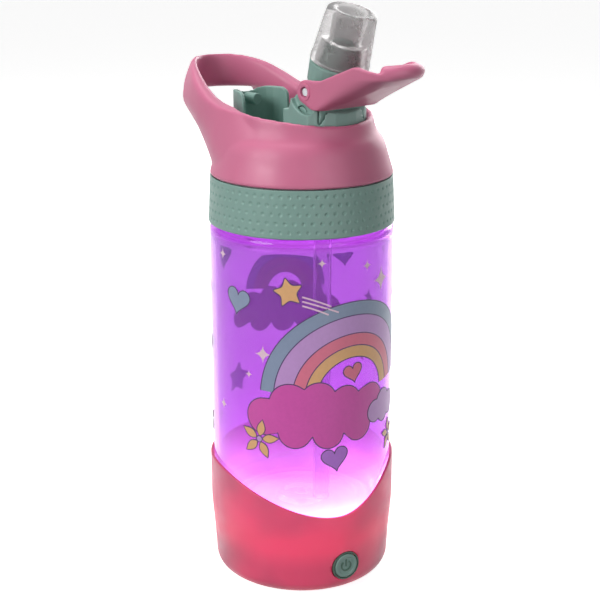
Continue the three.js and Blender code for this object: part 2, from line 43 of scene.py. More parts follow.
# ---------- dimensions, in millimetres, the same as the CAD model's ----------
GAP = 0.3
CUP_R = 37.35
CUP_TOP = 49.4
CUP_DIP = 34.0
CUP_FIXED = 31.8
DIP_ANGLE = -18
DIP_GENTLE = 93
DIP_STEEP = 62
BUTTON_ANGLE = -12.6
BUTTON_Z = 11.6
BUTTON_R = 5.05
BUTTON_FACE = 36.4
BOTTLE_R = 36
SPIGOT_R = 34.6
SHOULDER_Z = 143
NECK_R = 31
NECK_BORE = 28.9
NECK_TOP = 161.4
THREAD_CREST_R = 32.2
THREAD_LEAD = 4
BAND_BOTTOM = 146
BAND_TOP = 164.1
PIVOT = (14.6, 190)
HINGE = (18.5, 198.3)
SPOUT_LEAN = 19
ARM_OUT = 15.4


# ---------- camera and lights ----------
CAMERA_AZIMUTH = math.radians(48)
CAMERA_DISTANCE = 0.4929
CAMERA_HEIGHT = 0.2596
CAMERA_PITCH = math.radians(16.61)
TOWARDS = Vector((math.sin(CAMERA_AZIMUTH), -math.cos(CAMERA_AZIMUTH), 0))
RIGHT = Vector((math.cos(CAMERA_AZIMUTH), math.sin(CAMERA_AZIMUTH), 0))


def add_camera():
    data = bpy.data.cameras.new("camera")
    data.sensor_width = 36
    data.lens = 77.3
    data.shift_x = -0.0028
    camera = bpy.data.objects.new("camera", data)
    camera.location = TOWARDS * CAMERA_DISTANCE + Vector((0, 0, CAMERA_HEIGHT))
    camera.rotation_euler = (math.pi / 2 - CAMERA_PITCH, 0, CAMERA_AZIMUTH)
    bpy.context.scene.collection.objects.link(camera)
    bpy.context.scene.camera = camera


def add_area(name, place, size, power, target=(0, 0, 0.13)):
    data = bpy.data.lights.new(name, "AREA")
    data.shape = "DISK"
    data.size = size
    data.energy = power
    light = bpy.data.objects.new(name, data)
    light.location = place
    light.rotation_euler = (Vector(target) - Vector(place)).to_track_quat("-Z", "Y").to_euler()
    bpy.context.scene.collection.objects.link(light)


def add_lights():
    up = Vector((0, 0, 1))
    add_area("key", TOWARDS * 0.6 - RIGHT * 0.8 + up * 0.6, 0.6, 8)
    add_area("fill", TOWARDS * 1.0 + RIGHT * 0.6 + up * 0.3, 1.0, 5)
    add_area("top", TOWARDS * -0.1 - RIGHT * 0.15 + up * 1.1, 0.8, 6)
    add_area("back", TOWARDS * -0.9 + RIGHT * 0.5 + up * 0.5, 0.8, 6)
    world = bpy.data.worlds.new("studio")
    bpy.context.scene.world = world
    world.use_nodes = True
    backdrop = world.node_tree.nodes["Background"]
    backdrop.inputs["Color"].default_value = (1, 1, 1, 1)
    backdrop.inputs["Strength"].default_value = 1.0
    world.cycles_visibility.diffuse = False


# ---------- materials ----------
def srgb(red, green, blue):
    """Linear colour of an 8-bit display colour."""
    def linear(level):
        c = level / 255
        return c / 12.92 if c <= 0.04045 else ((c + 0.055) / 1.055) ** 2.4
    return (linear(red), linear(green), linear(blue), 1)


def scaled(color, factor):
    return tuple(min(1, c * factor) for c in color[:3]) + (1,)


class Nodes:
    """A short way of building a material's node tree."""

    def __init__(self, name):
        self.material = bpy.data.materials.new(name)
        self.material.use_nodes = True
        self.tree = self.material.node_tree
        self.shader = self.tree.nodes["Principled BSDF"]
        self.where = self.tree.nodes.new("ShaderNodeTexCoord").outputs["Object"]

    def node(self, kind, inputs=(), **settings):
        made = self.tree.nodes.new(kind)
        for key, value in settings.items():
            setattr(made, key, value)
        for key, value in dict(inputs).items():
            self.put(made.inputs[key], value)
        return made

    def put(self, socket, value):
        if isinstance(value, bpy.types.NodeSocket):
            self.tree.links.new(value, socket)
        else:
            socket.default_value = value

    def set(self, **inputs):
        for key, value in inputs.items():
            self.put(self.shader.inputs[key.replace("_", " ")], value)

    def noise(self, scale, detail=3.0, roughness=0.5, where=None):
        made = self.node("ShaderNodeTexNoise", {"Scale": scale, "Detail": detail, "Roughness": roughness,
                                                "Vector": where or self.where})
        return made.outputs["Fac"]

    def ramp(self, value, stops, smooth=False):
        made = self.node("ShaderNodeValToRGB", {"Fac": value})
        line = made.color_ramp
        line.interpolation = "EASE" if smooth else "LINEAR"
        while len(line.elements) < len(stops):
            line.elements.new(0.5)
        for element, (place, color) in zip(line.elements, stops):
            element.position = place
            element.color = color if len(color) == 4 else (*color, 1)
        return made.outputs["Color"]

    def spread(self, value, low, high, to_low=0.0, to_high=1.0):
        made = self.node("ShaderNodeMapRange", {"Value": value, "From Min": low, "From Max": high,
                                                "To Min": to_low, "To Max": to_high})
        return made.outputs["Result"]

    def mix(self, amount, first, second, kind="MIX"):
        made = self.node("ShaderNodeMix", data_type="RGBA", blend_type=kind)
        self.put(made.inputs["Factor"], amount)
        self.put(made.inputs["A"], first)
        self.put(made.inputs["B"], second)
        return made.outputs["Result"]

    def math(self, operation, first, second=0.0):
        made = self.node("ShaderNodeMath", operation=operation)
        self.put(made.inputs[0], first)
        self.put(made.inputs[1], second)
        return made.outputs["Value"]

    def axis(self, which):
        return self.node("ShaderNodeSeparateXYZ", {"Vector": self.where}).outputs[which]

    def radius(self):
        return self.math("SQRT", self.math("ADD", self.math("POWER", self.axis("X"), 2.0),
                                           self.math("POWER", self.axis("Y"), 2.0)))

    def bump(self, height, strength, distance):
        made = self.node("ShaderNodeBump", {"Height": height, "Strength": strength, "Distance": distance})
        self.put(self.shader.inputs["Normal"], made.outputs["Normal"])


def moulded(name, color, rough=0.45, grain=0.25, edge=0.35, subsurface=0.0, coat=0.0):
    """Satin moulded plastic: spark-eroded grain, faint flow marks and a painted highlight on sharp edges."""
    n = Nodes(name)
    flow = n.noise(45, 4)
    speck = n.noise(900, 2)
    tone = n.mix(flow, scaled(color, 0.93), scaled(color, 1.07))
    # painted highlight: sharp edges, found by pointiness, are lightened towards 1.35 times the colour as if
    # catching the light
    edges = n.node("ShaderNodeNewGeometry").outputs["Pointiness"]
    painted_edge_highlight = n.math("MULTIPLY", n.spread(edges, 0.52, 0.6), edge)
    tone = n.mix(painted_edge_highlight, tone, scaled(color, 1.35))
    n.set(Base_Color=tone, IOR=1.47)
    n.put(n.shader.inputs["Roughness"], n.spread(n.noise(160, 3), 0.3, 0.7, rough - 0.06, rough + 0.07))
    n.bump(speck, grain, 0.00006)
    if subsurface:
        n.set(Subsurface_Weight=subsurface, Subsurface_Scale=0.002, Subsurface_Radius=(1.0, 0.4, 0.4))
    if coat:
        n.set(Coat_Weight=coat, Coat_Roughness=0.2)
    return n


def metal(name, color, rough):
    n = Nodes(name)
    stretched = n.node("ShaderNodeMapping", {"Vector": n.where, "Scale": (1, 1, 14)}).outputs["Vector"]
    scratch = n.noise(260, 5, 0.6, stretched)
    n.set(Base_Color=n.mix(scratch, scaled(color, 0.85), scaled(color, 1.1)), Metallic=1.0)
    n.put(n.shader.inputs["Roughness"], n.spread(scratch, 0.3, 0.7, rough - 0.08, rough + 0.12))
    n.bump(scratch, 0.15, 0.00004)
    return n.material


PINK = srgb(206, 112, 146)
MINT = srgb(126, 160, 151)

pink_plastic = moulded("pink_plastic", PINK, 0.42, subsurface=0.06).material
mint_plastic = moulded("mint_plastic", MINT, 0.44, subsurface=0.05).material
white_plastic = moulded("white_plastic", srgb(226, 226, 228), 0.5).material
dark_plastic = moulded("dark_plastic", srgb(44, 46, 50), 0.5).material
bezel_plastic = moulded("bezel_plastic", srgb(58, 92, 78), 0.45).material
steel = metal("steel", srgb(196, 198, 202), 0.28)


def bottle_material():
    """Clear tinted plastic carrying the lamp's light, brightest near the lamp."""
    n = Nodes("bottle_clear")
    height = n.spread(n.axis("Z"), 0.02, 0.165)
    smoke = n.spread(n.noise(14, 3, 0.55), 0.35, 0.65, 0.55, 1.15)
    # painted glow of the lamp's light as emission, brightest low down near the lamp, with a painted highlight
    # band along the shoulder (stops 0.855 to 0.89)
    glow = n.ramp(height, [
        (0.0, (0.95, 0.8, 0.95)), (0.09, (0.95, 0.75, 0.95)), (0.14, (0.5, 0.3, 0.52)),
        (0.22, (0.2, 0.05, 0.24)),
        (0.34, (0.08, 0.006, 0.12)), (0.6, (0.04, 0.003, 0.07)), (0.83, (0.03, 0.003, 0.06)),
        (0.855, (0.16, 0.008, 0.22)), (0.89, (0.07, 0.004, 0.1)), (1.0, (0.02, 0.004, 0.04)),
    ])
    glow = n.mix(1.0, glow, n.node("ShaderNodeCombineColor", {"Red": smoke, "Green": smoke, "Blue": smoke})
                 .outputs["Color"], "MULTIPLY")
    n.set(Base_Color=n.mix(n.noise(9, 2), (0.46, 0.2, 0.58, 1), (0.56, 0.26, 0.7, 1)),
          Transmission_Weight=0.92, Roughness=0.06, IOR=1.3, Emission_Color=glow, Emission_Strength=1.0)
    n.bump(n.noise(35, 2), 0.25, 0.0004)
    n.material.cycles.emission_sampling = "NONE"
    return n.material


def cup_material():
    """Translucent pink plastic lit from inside by the lamps."""
    n = moulded("cup_translucent", srgb(196, 66, 104), 0.36, 0.2, 0.5, subsurface=0.2)
    height = n.spread(n.axis("Z"), 0.0, 0.05)
    patches = n.spread(n.noise(26, 2), 0.4, 0.62)
    glow = n.ramp(height, [(0.0, (0.0, 0.0, 0.0)), (0.2, (0.06, 0.002, 0.01)), (0.45, (0.5, 0.015, 0.05)),
                           (0.7, (0.32, 0.02, 0.06)), (1.0, (0.14, 0.02, 0.05))], True)
    glow = n.mix(n.math("MULTIPLY", patches, 0.7), glow, (0.5, 0.012, 0.05, 1), "ADD")
    n.set(Emission_Color=glow, Emission_Strength=0.55)
    n.material.cycles.emission_sampling = "NONE"
    return n.material


def silicone_material():
    n = Nodes("clear_silicone")
    n.set(Base_Color=n.mix(n.noise(60, 2), (0.46, 0.45, 0.45, 1), (0.54, 0.53, 0.53, 1)),
          Transmission_Weight=0.78, IOR=1.25)
    n.put(n.shader.inputs["Roughness"], n.spread(n.noise(220, 3), 0.3, 0.7, 0.16, 0.3))
    n.bump(n.noise(500, 2), 0.15, 0.00008)
    return n.material


def straw_material():
    n = Nodes("straw_clear")
    n.set(Base_Color=n.mix(n.noise(60, 2), (0.88, 0.86, 0.9, 1), (0.95, 0.94, 0.96, 1)),
          Transmission_Weight=0.95, IOR=1.18, Roughness=0.12)
    n.bump(n.noise(300, 2), 0.1, 0.00008)
    return n.material


def lens_material():
    n = Nodes("milky_lens")
    rings = n.node("ShaderNodeTexWave", {"Vector": n.where, "Scale": 60.0, "Distortion": 0.6},
                   wave_type="RINGS", rings_direction="Z").outputs["Fac"]
    n.set(Base_Color=n.mix(rings, (0.9, 0.75, 0.95, 1), (1, 0.92, 1, 1)), Roughness=0.35,
          Emission_Color=n.mix(rings, (1.0, 0.45, 1.0, 1), (1.0, 0.8, 1.0, 1)), Emission_Strength=2.5)
    n.bump(rings, 0.3, 0.0003)
    return n.material


def lamp_material():
    n = Nodes("lamp")
    core = n.noise(400, 2)
    n.set(Base_Color=n.mix(core, (0.9, 0.8, 0.95, 1), (1, 1, 1, 1)), Roughness=0.2,
          Emission_Color=n.mix(core, (1.0, 0.6, 1.0, 1), (1.0, 0.9, 1.0, 1)), Emission_Strength=4.0)
    return n.material


def board_material():
    n = Nodes("board_green")
    tracks = n.node("ShaderNodeTexBrick", {"Vector": n.where, "Scale": 260.0, "Mortar Size": 0.04,
                                           "Color1": (0.02, 0.16, 0.06, 1), "Color2": (0.03, 0.2, 0.08, 1),
                                           "Mortar": (0.1, 0.36, 0.14, 1)}).outputs["Color"]
    n.set(Base_Color=tracks, Roughness=0.35, Coat_Weight=0.4)
    n.bump(n.noise(700, 2), 0.2, 0.00005)
    return n.material


def ink_material(name, color, glow=0.16):
    """Screen-printed ink on the clear wall, lit through from behind."""
    n = Nodes(name)
    grain = n.noise(700, 3)
    patch = n.noise(60, 3)
    tone = n.mix(grain, scaled(color, 0.92), scaled(color, 1.08))
    tone = n.mix(n.math("MULTIPLY", patch, 0.3), tone, scaled(color, 0.8))
    n.set(Base_Color=tone, Roughness=0.38, Emission_Color=tone, Emission_Strength=glow)
    n.bump(grain, 0.2, 0.00005)
    n.material.cycles.emission_sampling = "NONE"
    return n.material


clear_bottle = bottle_material()
cup_pink = cup_material()
silicone = silicone_material()
straw_clear = straw_material()
milky_lens = lens_material()
lamp = lamp_material()
board_green = board_material()
INKS = {
    "blue_grey": ink_material("ink_blue_grey", srgb(124, 138, 164)),
    "lilac": ink_material("ink_lilac", srgb(184, 140, 198)),
    "magenta": ink_material("ink_magenta", srgb(198, 70, 160)),
    "gold": ink_material("ink_gold", srgb(214, 164, 112)),
    "rose": ink_material("ink_rose", srgb(212, 108, 134)),
    "violet": ink_material("ink_violet", srgb(168, 104, 200)),
    "pale": ink_material("ink_pale", srgb(222, 190, 206)),
    "line": ink_material("ink_line", srgb(70, 40, 96), 0.04),
}


# ---------- mesh helpers ----------
def mesh_object(name, vertices, faces, material, smooth=True):
    """A mesh object from points in millimetres."""
    mesh = bpy.data.meshes.new(name)
    mesh.from_pydata([tuple(c * MM for c in v) for v in vertices], [], faces)
    mesh.validate()
    shape = bmesh.new()
    shape.from_mesh(mesh)
    bmesh.ops.recalc_face_normals(shape, faces=shape.faces)
    shape.to_mesh(mesh)
    shape.free()
    mesh.polygons.foreach_set("use_smooth", [smooth] * len(mesh.polygons))
    mesh.materials.append(material)
    made = bpy.data.objects.new(name, mesh)
    bpy.context.scene.collection.objects.link(made)
    return made


def rounded(points):
    """A closed outline of (r, z) or (r, z, fillet radius) points, its corners turned into arcs."""
    out = []
    count = len(points)
    for i, point in enumerate(points):
        r = point[2] if len(point) > 2 else 0
        here = np.array(point[:2], float)
        if not r:
            out.append(tuple(here))
            continue
        before = np.array(points[i - 1][:2], float) - here
        after = np.array(points[(i + 1) % count][:2], float) - here
        reach = min(r, 0.48 * np.linalg.norm(before), 0.48 * np.linalg.norm(after))
        a = here + before / np.linalg.norm(before) * reach
        b = here + after / np.linalg.norm(after) * reach
        for k in range(7):
            t = k / 6
            out.append(tuple((1 - t) ** 2 * a + 2 * t * (1 - t) * here + t * t * b))
    return out


def dense(points, step):
    """The same closed outline with its long stretches divided."""
    out = []
    for i, point in enumerate(points):
        following = points[(i + 1) % len(points)]
        if point[0] == 0 and following[0] == 0:
            out.append(point)
            continue
        parts = max(1, math.ceil(math.dist(point, following) / step))
        for k in range(parts):
            t = k / parts
            out.append((point[0] + (following[0] - point[0]) * t, point[1] + (following[1] - point[1]) * t))
    return out


def lathe(profile, sides=128):
    """Vertices and faces of a turned body about +Z from a closed outline of (r, z) points."""
    vertices = []
    rows = []
    for r, z in profile:
        if r < 1e-6:
            rows.append([len(vertices)] * sides)
            vertices.append((0, 0, z))
            continue
        rows.append(list(range(len(vertices), len(vertices) + sides)))
        for i in range(sides):
            a = 2 * math.pi * i / sides
            vertices.append((r * math.cos(a), r * math.sin(a), z))
    faces = []
    for j, row in enumerate(rows):
        above = rows[(j + 1) % len(rows)]
        if len(set(row)) == 1 and len(set(above)) == 1:
            continue
        for i in range(sides):
            k = (i + 1) % sides
            corners = [row[i], row[k], above[k], above[i]]
            faces.append([c for n, c in enumerate(corners) if c not in corners[:n]])
    return vertices, faces


def arc(cx, cy, r, start, end, steps):
    return [(cx + r * math.cos(math.radians(start + (end - start) * i / steps)),
             cy + r * math.sin(math.radians(start + (end - start) * i / steps))) for i in range(steps + 1)]


def smoothstep(value, low, high):
    t = min(1, max(0, (value - low) / (high - low)))
    return t * t * (3 - 2 * t)


def place(made, body, slot_name, *nodes):
    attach(made, body)
    if nodes:
        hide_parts(*nodes)
    return made


def baked(made):
    """Replaces the object's mesh with what its modifiers give."""
    graph = bpy.context.evaluated_depsgraph_get()
    mesh = bpy.data.meshes.new_from_object(made.evaluated_get(graph))
    made.modifiers.clear()
    made.data = mesh
    return made


def combined(made, tools, operation="DIFFERENCE"):
    """Cuts, joins or crosses an object with other closed meshes, which are used up."""
    for tool in tools:
        step = made.modifiers.new("step", "BOOLEAN")
        step.operation = operation
        step.solver = "MANIFOLD"
        step.object = tool
    baked(made)
    for tool in tools:
        bpy.data.objects.remove(tool)
    return made


def turned_to(vertices, angle, lift=(0, 0, 0), about="Z"):
    spin = Matrix.Rotation(math.radians(angle), 3, about)
    return [tuple(spin @ Vector(v) + Vector(lift)) for v in vertices]


def along_x(vertices, z):
    """Turns a body drawn about +Z so that it lies along +X at a height, at the button's place."""
    laid = [(v[2], v[1], -v[0] + z) for v in vertices]
    return turned_to(laid, BUTTON_ANGLE)


# ---------- light base ----------
def cup_rim(angle):
    turn = (angle - DIP_ANGLE + 180) % 360 - 180
    return CUP_DIP + (CUP_TOP - CUP_DIP) * smoothstep(abs(turn), 0, DIP_STEEP if turn > 0 else DIP_GENTLE)


def make_cup():
    profile = rounded([
        (29.9, 0.5, 0.4), *arc(30.1, 6, 5.5, -90, 0, 14), (36.2, 16.5), (CUP_R, 30, 3),
        (CUP_R, CUP_TOP, 0.5), (BOTTLE_R + GAP, CUP_TOP, 0.45), (BOTTLE_R + GAP, CUP_FIXED),
        (SPIGOT_R + GAP, 30.2, 0.3), (SPIGOT_R + GAP, 22.3, 0.3), (33.7, 22.3, 0.3), (33.7, 2.4), (29.9, 2.4),
    ])
    vertices, faces = lathe(dense(profile, 1.2), 192)
    shaped = []
    for x, y, z in vertices:
        if z > CUP_FIXED:
            rim = cup_rim(math.degrees(math.atan2(y, x)))
            z = CUP_FIXED + (z - CUP_FIXED) * (rim - CUP_FIXED) / (CUP_TOP - CUP_FIXED)
        shaped.append((x, y, z))
    cup = mesh_object("cup_wall", shaped, faces, cup_pink)
    rim = rounded([(0, 30), (BUTTON_R + 1.25, 30), (BUTTON_R + 1.25, 45), (0, 45)])
    tool, tool_faces = lathe(rim, 64)
    combined(cup, [mesh_object("cutter", along_x(tool, BUTTON_Z), tool_faces, cup_pink)])
    return place(cup, "base", "pink_translucent", "base_cup")


def make_button():
    cap = rounded([(0, 30.4), (1.6, 30.4), (1.6, 31.2), (5.7, 31.2), (5.7, 32.4), (BUTTON_R, 32.4),
                   (BUTTON_R, BUTTON_FACE, 0.6), (3.7, BUTTON_FACE, 0.3), (3.45, BUTTON_FACE - 0.35, 0.3),
                   (0, BUTTON_FACE - 0.35)])
    vertices, faces = lathe(dense(cap, 0.8), 72)
    place(mesh_object("button_cap", along_x(vertices, BUTTON_Z), faces, mint_plastic), "button",
          "mint_plastic", "power_button")
    # the power sign: an open ring and a short bar, standing up from the sunk face
    low = BUTTON_FACE - 0.5
    high = BUTTON_FACE - 0.05
    ring = []
    for i in range(33):
        turn = math.radians(180 + 38 + 284 * i / 32)
        for r in (1.75, 2.35):
            ring.append((r * math.cos(turn), r * math.sin(turn)))
    sign, sign_faces = slab_strip(ring, low, high)
    bar, bar_faces = slab_strip([(-2.6, -0.3), (-2.6, 0.3), (0.3, -0.3), (0.3, 0.3)], low, high)
    sign_faces += [[i + len(sign) for i in f] for f in bar_faces]
    raised = mesh_object("power_sign", along_x(sign + bar, BUTTON_Z), sign_faces, bezel_plastic, False)
    place(raised, "button", "dark_plastic")


def slab_strip(pairs, low, high):
    """A closed flat band: pairs holds its two edges' points by turns."""
    count = len(pairs) // 2
    vertices = [(x, y, low) for x, y in pairs] + [(x, y, high) for x, y in pairs]
    top = len(pairs)
    faces = []
    for i in range(count - 1):
        a, b, c, d = 2 * i, 2 * i + 1, 2 * i + 3, 2 * i + 2
        faces += [[a, d, c, b], [a + top, b + top, c + top, d + top], [b, c, c + top, b + top],
                  [a, a + top, d + top, d]]
    faces += [[0, 1, 1 + top, top], [2 * count - 2, 2 * count - 2 + top, 2 * count - 1 + top, 2 * count - 1]]
    return vertices, faces


# ---------- bottle ----------
def make_bottle():
    floor_rings = []
    for r in (26.0, 22.4):
        floor_rings += [(r + 1.3, 27.35, 0.5), (r + 0.6, 28.3, 0.4), (r - 0.6, 28.3, 0.4),
                        (r - 1.3, 27.3, 0.5)]
    profile = rounded([
        (0, 25.4), (22, 24.4, 2), (29.5, 22.7, 0.5), (33, 22.7, 0.5), (SPIGOT_R, 24.3, 0.5),
        (SPIGOT_R, 30.2, 0.6), (BOTTLE_R - 0.1, 31.6, 0.6), (BOTTLE_R, SHOULDER_Z),
        *arc(BOTTLE_R - 3.2, SHOULDER_Z, 3.2, 8, 90, 12), (NECK_R, SHOULDER_Z + 3.3, 0.4),
        (NECK_R, NECK_TOP, 0.5), (NECK_BORE, NECK_TOP, 0.5), (NECK_BORE, SHOULDER_Z + 3, 1.2),
        (33.4, SHOULDER_Z - 1, 1.2), (34, SHOULDER_Z - 3, 1), (34, 46, 4), (32.6, 34, 4), (29.4, 27.5, 1.5),
        *floor_rings, (11.2, 27.1, 0.8), (9.6, 29.4, 1.0), (7.8, 29.4, 1.0), (6, 27.9, 1.0), (3.2, 28.2, 1),
        (0, 30.2),
    ])
    vertices, faces = lathe(dense(profile, 2.4), 160)
    place(mesh_object("bottle_shell", vertices, faces, clear_bottle), "bottle", "clear_bottle", "bottle_body")
    points = []
    steps = 96
    turns = 1.1
    for i in range(steps + 1):
        t = i / steps
        angle = 2 * math.pi * turns * t
        fade = min(1, t * 12, (1 - t) * 12)
        crest = NECK_R + 0.02 + (THREAD_CREST_R - NECK_R) * math.sin(fade * math.pi / 2)
        z = 150.6 + THREAD_LEAD * turns * t
        for r, dz in ((NECK_R - 0.3, -1.1), (crest, -0.5), (crest, 0.5), (NECK_R - 0.3, 1.1)):
            points.append((r * math.cos(angle), r * math.sin(angle), z + dz))
    faces = [[4 * i + k, 4 * i + 4 + k, 4 * i + 4 + (k + 1) % 4, 4 * i + (k + 1) % 4]
             for i in range(steps) for k in range(4)]
    faces += [[0, 1, 2, 3], [4 * steps + 3, 4 * steps + 2, 4 * steps + 1, 4 * steps]]
    place(mesh_object("neck_thread", points, faces, clear_bottle), "bottle", "clear_bottle")


# ---------- printed pictures on the bottle ----------
INK_LOW = 0.01
INK_HIGH = 0.07
LAYER = 0.07
LINE_UP = 0.03
art = {name: ([], []) for name in INKS}


def wrap(points, angle, height):
    """Flat points (u to the right, v up, w outwards) laid on the bottle round a place."""
    out = []
    for u, v, w in points:
        a = math.radians(angle) + u / BOTTLE_R
        out.append(((BOTTLE_R + w) * math.cos(a), (BOTTLE_R + w) * math.sin(a), height + v))
    return out


def add_art(ink, points, faces):
    vertices, kept = art[ink]
    kept += [[i + len(vertices) for i in f] for f in faces]
    vertices += points


def fill(ink, angle, height, polygon, layer=0):
    """A flat coloured patch with this outline."""
    low, high = INK_LOW, INK_HIGH + layer * LAYER
    shape = bmesh.new()
    ring = [shape.verts.new((u, v, low)) for u, v in polygon]
    edges = [shape.edges.new((ring[i], ring[(i + 1) % len(ring)])) for i in range(len(ring))]
    bmesh.ops.triangle_fill(shape, use_beauty=True, use_dissolve=False, edges=edges)
    left = min(u for u, v in polygon)
    right = max(u for u, v in polygon)
    steps = max(1, int((right - left) / 1.2))
    for i in range(1, steps):
        parts = shape.verts[:] + shape.edges[:] + shape.faces[:]
        bmesh.ops.bisect_plane(shape, geom=parts, plane_co=(left + (right - left) * i / steps, 0, 0),
                               plane_no=(1, 0, 0), dist=1e-5)
    bmesh.ops.recalc_face_normals(shape, faces=shape.faces)
    if shape.faces and sum(f.normal.z for f in shape.faces) > 0:
        bmesh.ops.reverse_faces(shape, faces=shape.faces)
    grown = bmesh.ops.extrude_face_region(shape, geom=shape.faces[:] + shape.edges[:] + shape.verts[:],
                                          use_keep_orig=True)
    for element in grown["geom"]:
        if isinstance(element, bmesh.types.BMVert):
            element.co.z = high
    shape.verts.index_update()
    points = [tuple(v.co) for v in shape.verts]
    faces = [[v.index for v in f.verts] for f in shape.faces]
    shape.free()
    add_art(ink, wrap(points, angle, height), faces)


def line(ink, angle, height, path, width=0.42, closed=True, layer=0):
    """A drawn line of even width along a path."""
    low, high = INK_LOW, INK_HIGH + layer * LAYER + LINE_UP
    p = np.array(path, float)
    if closed:
        ahead = np.roll(p, -1, 0) - np.roll(p, 1, 0)
    else:
        ahead = np.gradient(p, axis=0)
    normal = np.stack([-ahead[:, 1], ahead[:, 0]], 1)
    normal /= np.maximum(np.linalg.norm(normal, axis=1), 1e-9)[:, None]
    a, b = p - normal * width / 2, p + normal * width / 2
    count = len(p)
    points = [(*q, w) for w in (low, high) for edge in (a, b) for q in edge]
    faces = []
    for i in range(count if closed else count - 1):
        j = (i + 1) % count
        corner = [(i, j), (i + count, j + count), (i + 3 * count, j + 3 * count),
                  (i + 2 * count, j + 2 * count)]
        for (s, t), (u, v) in zip(corner, corner[1:] + corner[:1]):
            faces.append([s, t, v, u])
    if not closed:
        faces += [[0, count, 3 * count, 2 * count],
                  [count - 1, 3 * count - 1, 4 * count - 1, 2 * count - 1][::-1]]
    add_art(ink, wrap(points, angle, height), faces)


def drawn(ink, angle, height, polygon, width=0.42, layer=0):
    fill(ink, angle, height, polygon, layer)
    line("line", angle, height, polygon, width, True, layer)


def heart(width, lean=0.0, steps=56):
    points = []
    for i in range(steps):
        t = 2 * math.pi * i / steps
        points.append((16 * math.sin(t) ** 3,
                       13 * math.cos(t) - 5 * math.cos(2 * t) - 2 * math.cos(3 * t) - math.cos(4 * t)))
    return spun([(x * width / 32, y * width / 32) for x, y in points], lean)


def spun(points, degrees):
    c, s = math.cos(math.radians(degrees)), math.sin(math.radians(degrees))
    return [(x * c - y * s, x * s + y * c) for x, y in points]


def sparkle(reach, hollow=3.6, steps=10):
    """A star with four long points and hollow sides."""
    points = []
    for quarter in range(4):
        for k in range(steps):
            t = k / steps * math.pi / 2
            x, y = abs(math.cos(t)) ** hollow, abs(math.sin(t)) ** hollow
            points.append(spun([(x * reach, y * reach)], 90 * quarter)[0])
    return points


def star(reach, inner=0.5, lean=0.0):
    corners = [(reach * (1 if k % 2 == 0 else inner) * math.cos(math.radians(90 + 36 * k)),
                reach * (1 if k % 2 == 0 else inner) * math.sin(math.radians(90 + 36 * k)))
               for k in range(10)]
    soft = []
    for i, here in enumerate(corners):
        before, after = corners[i - 1], corners[(i + 1) % 10]
        for k in range(6):
            t = k / 5
            a = (here[0] * 0.72 + before[0] * 0.28, here[1] * 0.72 + before[1] * 0.28)
            b = (here[0] * 0.72 + after[0] * 0.28, here[1] * 0.72 + after[1] * 0.28)
            soft.append(((1 - t) ** 2 * a[0] + 2 * t * (1 - t) * here[0] + t * t * b[0],
                         (1 - t) ** 2 * a[1] + 2 * t * (1 - t) * here[1] + t * t * b[1]))
    return spun(soft, lean)


def cloud(circles, steps=260):
    """The outline round a bunch of circles, seen from the middle."""
    points = []
    for i in range(steps):
        a = 2 * math.pi * i / steps
        c, s = math.cos(a), math.sin(a)
        reach = 0
        for x, y, r in circles:
            along = x * c + y * s
            off = x * x + y * y - along * along
            if off < r * r:
                reach = max(reach, along + math.sqrt(r * r - off))
        points.append((reach * c, reach * s))
    return points


def petal(length, width):
    points = []
    for k in range(13):
        t = k / 12
        points.append((length * (0.16 + 0.84 * t), width * math.sin(math.pi * t ** 0.8) / 2))
    for k in range(11, 0, -1):
        t = k / 12
        points.append((length * (0.16 + 0.84 * t), -width * math.sin(math.pi * t ** 0.8) / 2))
    return points


def flower(angle, height, reach, lean, ink="gold", middle="lilac"):
    for k in range(5):
        drawn(ink, angle, height, spun(petal(reach, reach * 0.42), lean + 72 * k), 0.32, 2)
    disc = [(reach * 0.15 * math.cos(math.radians(a)), reach * 0.15 * math.sin(math.radians(a)))
            for a in range(0, 360, 20)]
    drawn(middle, angle, height, disc, 0.3, 2)


def band(ink, angle, height, inner, outer, start, end, steps=60):
    """A bow-shaped band between two radii."""
    across = max(2, math.ceil((outer - inner) / 1.2))
    points = []
    for w in (INK_LOW, INK_HIGH):
        for i in range(steps + 1):
            a = math.radians(start + (end - start) * i / steps)
            for k in range(across + 1):
                r = inner + (outer - inner) * k / across
                points.append((r * math.cos(a), r * math.sin(a), w))
    row = across + 1
    layer = row * (steps + 1)
    faces = []
    for i in range(steps):
        for k in range(across):
            a, b, c, d = i * row + k, i * row + k + 1, (i + 1) * row + k + 1, (i + 1) * row + k
            faces += [[a, d, c, b], [a + layer, b + layer, c + layer, d + layer]]
        for k in (0, across):
            a, d = i * row + k, (i + 1) * row + k
            faces.append([a, a + layer, d + layer, d] if k == 0 else [a, d, d + layer, a + layer])
    for i in (0, steps):
        for k in range(across):
            a, b = i * row + k, i * row + k + 1
            faces.append([a, b, b + layer, a + layer] if i == 0 else [a, a + layer, b + layer, b])
    add_art(ink, wrap(points, angle, height), faces)


def rainbow(angle, height, radii, inks, start, end):
    for ink, inner, outer in zip(inks, radii, radii[1:]):
        band(ink, angle, height, inner + 0.02, outer - 0.02, start, end)
    for r in radii:
        path = [(r * math.cos(math.radians(start + (end - start) * i / 60)),
                 r * math.sin(math.radians(start + (end - start) * i / 60))) for i in range(61)]
        line("line", angle, height, path, 0.42, False)


FRONT = -24
CLOUD = [(-24, -1, 7.5), (-14, 5, 8), (-3, 6.5, 7), (8, 4.5, 6.6), (20, 2, 7.6), (28, -2, 5.6), (14, -6, 6.4),
         (1, -7.5, 6.2), (-12, -6.5, 6.6)]


